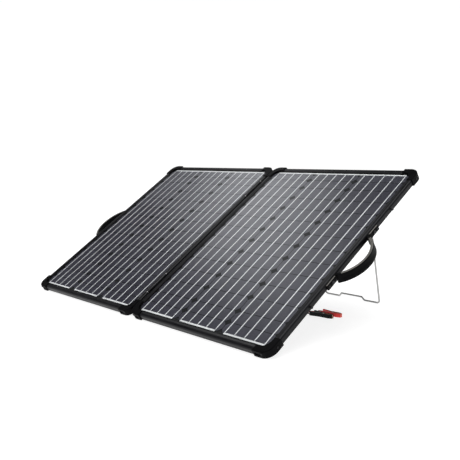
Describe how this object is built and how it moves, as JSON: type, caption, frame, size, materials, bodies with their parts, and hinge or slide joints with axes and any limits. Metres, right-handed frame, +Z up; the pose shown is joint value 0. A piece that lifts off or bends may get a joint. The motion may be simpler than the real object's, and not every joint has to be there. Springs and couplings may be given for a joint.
{
  "type": "folding solar suitcase kit",
  "caption": "Folding solar suitcase: framed panels on a fold hinge with wire legs, carrying handles, rear charge controller and battery clip lead.",
  "frame": {"origin": "on the ground under the middle of the opened kit, at the fold line", "axes": "+X along the width of the opened pair, +Y from the low front edge to the raised rear, +Z up"},
  "size_m": [1.101, 0.6091, 0.3799],
  "materials": {
    "black_frame": "satin black anodised",
    "solar_glass": "clear",
    "solar_cell": "dark blue grey",
    "solder_ribbon": "tinned",
    "backing_sheet": "dark film",
    "black_plastic": "moulded",
    "controller_shell": "dark grey moulded",
    "bright_steel": "plated",
    "dark_steel": "black zinc",
    "leg_wire": "plain wire",
    "clip_metal": "copper plated",
    "heat_sink": "anodised",
    "lcd": "display",
    "blue_button": "gloss",
    "lamp_lens": "clear lens",
    "black_cable": "jacket",
    "red_cable": "jacket",
    "black_grip": "vinyl",
    "red_grip": "vinyl"
  },
  "bodies": {
    "right_panel": {"frame_right": "black_frame", "glass_right": "solar_glass", "cells_right": "solar_cell", "ribbons_right": "solder_ribbon", "backsheet_right": "backing_sheet", "protectors_right": "black_plastic", "protector_screws_right": "dark_steel", "handle_right": "black_plastic", "handle_screws_right": "dark_steel", "junction_box_right": "black_plastic", "leg_brackets_right": "dark_steel", "leg_clip_right": "black_plastic", "hinge_leaves_right": "dark_steel", "fold_pins": "bright_steel", "hook_studs": "dark_steel", "controller_base": "heat_sink", "controller_cover": "controller_shell", "controller_flanges": "black_plastic", "controller_lcd": "lcd", "controller_leds": "lamp_lens", "controller_terminals": "black_plastic", "controller_screws": "bright_steel", "glands": "black_plastic", "panel_leads_right": "black_cable", "crossing_lead": "black_cable", "battery_cable": "black_cable", "battery_coil": "black_cable", "battery_boot": "black_cable", "lead_black": "black_cable", "lead_red": "red_cable", "clip_arms_fixed": "clip_metal", "clip_hinge_pins": "bright_steel", "grip_black_fixed": "black_grip", "grip_red_fixed": "red_grip"},
    "left_panel": {"frame_left": "black_frame", "glass_left": "solar_glass", "cells_left": "solar_cell", "ribbons_left": "solder_ribbon", "backsheet_left": "backing_sheet", "protectors_left": "black_plastic", "protector_screws_left": "dark_steel", "handle_left": "black_plastic", "handle_screws_left": "dark_steel", "junction_box_left": "black_plastic", "leg_brackets_left": "dark_steel", "leg_clip_left": "black_plastic", "hinge_leaves_left": "dark_steel", "hook_pivots": "dark_steel", "panel_leads_left": "black_cable"},
    "leg_right": {"leg_right": "leg_wire"},
    "leg_left": {"leg_left": "leg_wire"},
    "front_hook": {"hook_front": "bright_steel"},
    "rear_hook": {"hook_rear": "bright_steel"},
    "select_button": {"button_select": "blue_button"},
    "enter_button": {"button_enter": "blue_button"},
    "black_clip_jaw": {"clip_arm_black": "clip_metal", "grip_black_moving": "black_grip"},
    "red_clip_jaw": {"clip_arm_red": "clip_metal", "grip_red_moving": "red_grip"}
  },
  "joints": [
    {"name": "fold", "type": "hinge", "parent": "right_panel", "child": "left_panel", "pos_m": [0, -0.03164, 0.19835], "axis": [0, 0.832, 0.5548], "range_deg": [0, 180]},
    {"name": "leg_right_fold", "type": "hinge", "parent": "right_panel", "child": "leg_right", "pos_m": [0.25375, 0.23043, 0.34428], "axis": [-1, 0, 0], "range_deg": [0, 68]},
    {"name": "leg_left_fold", "type": "hinge", "parent": "left_panel", "child": "leg_left", "pos_m": [-0.25375, 0.23043, 0.34428], "axis": [-1, 0, 0], "range_deg": [0, 68]},
    {"name": "front_hook_turn", "type": "hinge", "parent": "left_panel", "child": "front_hook", "pos_m": [-0.5045, -0.17113, 0.0921], "axis": [1, 0, 0], "range_deg": [0, 90]},
    {"name": "rear_hook_turn", "type": "hinge", "parent": "left_panel", "child": "rear_hook", "pos_m": [-0.5045, 0.12005, 0.2863], "axis": [1, 0, 0], "range_deg": [0, 90]},
    {"name": "select_button_press", "type": "slide", "parent": "right_panel", "child": "select_button", "axis": [0, -0.5548, 0.832], "range_m": [0, 0.0012], "stiffness_N_per_m": 250, "springref_m": -0.0005},
    {"name": "enter_button_press", "type": "slide", "parent": "right_panel", "child": "enter_button", "axis": [0, -0.5548, 0.832], "range_m": [0, 0.0012], "stiffness_N_per_m": 250, "springref_m": -0.0005},
    {"name": "black_clip_open", "type": "hinge", "parent": "right_panel", "child": "black_clip_jaw", "pos_m": [0.339, 0.07199, 0.0052], "axis": [0, 0, 1], "range_deg": [0, 14], "stiffness_Nm_per_rad": 0.4, "springref_deg": -17.19},
    {"name": "red_clip_open", "type": "hinge", "parent": "right_panel", "child": "red_clip_jaw", "pos_m": [0.3465, 0.09799, 0.0052], "axis": [0, 0, 1], "range_deg": [0, 14], "stiffness_Nm_per_rad": 0.4, "springref_deg": -17.19}
  ]
}
